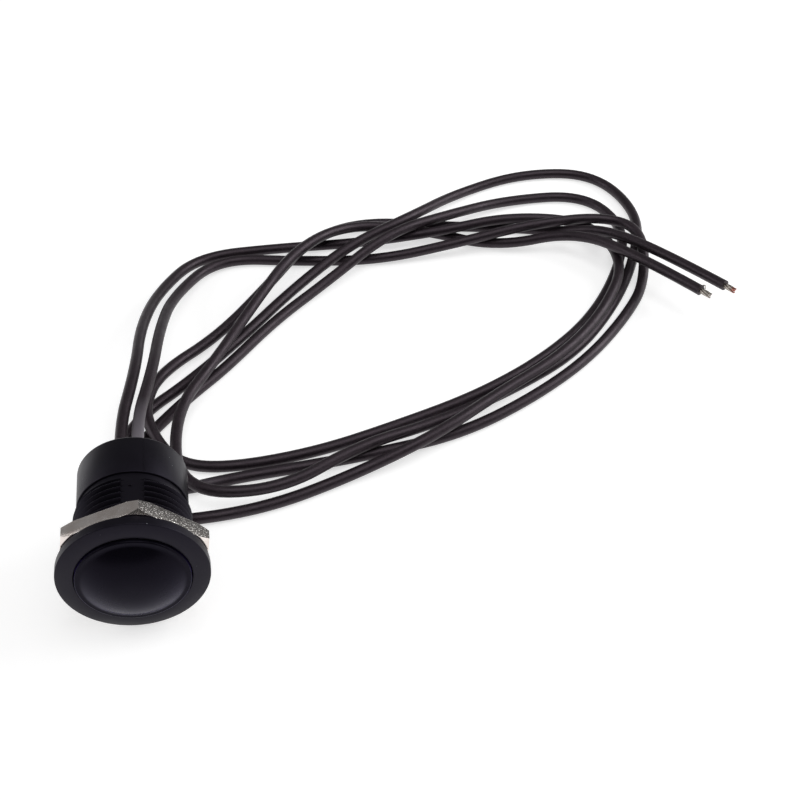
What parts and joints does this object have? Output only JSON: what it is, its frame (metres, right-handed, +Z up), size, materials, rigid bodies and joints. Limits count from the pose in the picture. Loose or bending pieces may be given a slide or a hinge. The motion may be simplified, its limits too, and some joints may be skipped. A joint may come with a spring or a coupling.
{
  "type": "panel pushbutton switch",
  "caption": "Round sealed pushbutton switch with a domed button, threaded bushing, hexagon panel nut and flying leads.",
  "frame": {"origin": "on the surface under the middle of the switch, leads left out", "axes": "+Z up; the switch's axis runs along Y, the button faces -Y and the leads leave towards +Y"},
  "size_m": [0.1098, 0.1022, 0.0216],
  "materials": {
    "black_plastic": "fine moulded satin black",
    "button_plastic": "smooth satin black",
    "seal_rubber": "matt black",
    "spring_steel": "drawn wire",
    "plunger_plastic": "natural, satin",
    "contact_brass": "stamped strip",
    "contact_silver": "silver contact tips",
    "inner_plastic": "satin",
    "resin": "cast, glossy",
    "tinned_copper": "tinned strands",
    "lead_insulation": "satin black soft plastic insulation",
    "nickel_plate": "nickel plated, slightly worn"
  },
  "bodies": {
    "switch": {"housing": "black_plastic", "guide_plate": "inner_plastic", "contact_base": "inner_plastic", "terminal_left": "contact_brass", "terminal_right": "contact_brass", "fixed_contacts": "contact_silver", "rear_potting": "resin", "return_spring": "spring_steel", "left_core": "tinned_copper", "right_core": "tinned_copper", "left_lead": "lead_insulation", "right_lead": "lead_insulation", "left_strands": "tinned_copper", "right_strands": "tinned_copper"},
    "button": {"button": "button_plastic", "button_seal": "seal_rubber", "stem_clip": "spring_steel", "plunger": "plunger_plastic", "contact_spring": "spring_steel", "contact_bridge": "contact_brass", "bridge_contacts": "contact_silver", "bridge_keeper": "spring_steel"},
    "nut": {"hex_nut": "nickel_plate"}
  },
  "joints": [
    {"name": "press", "type": "slide", "parent": "switch", "child": "button", "axis": [0, 1, 0], "range_m": [0, 0.0008], "stiffness_N_per_m": 1500, "springref_m": -0.0015, "deforming": ["return_spring"]},
    {"name": "nut_travel", "type": "slide", "parent": "switch", "child": "nut", "axis": [0, 1, 0], "range_m": [0, 0.0068]}
  ]
}
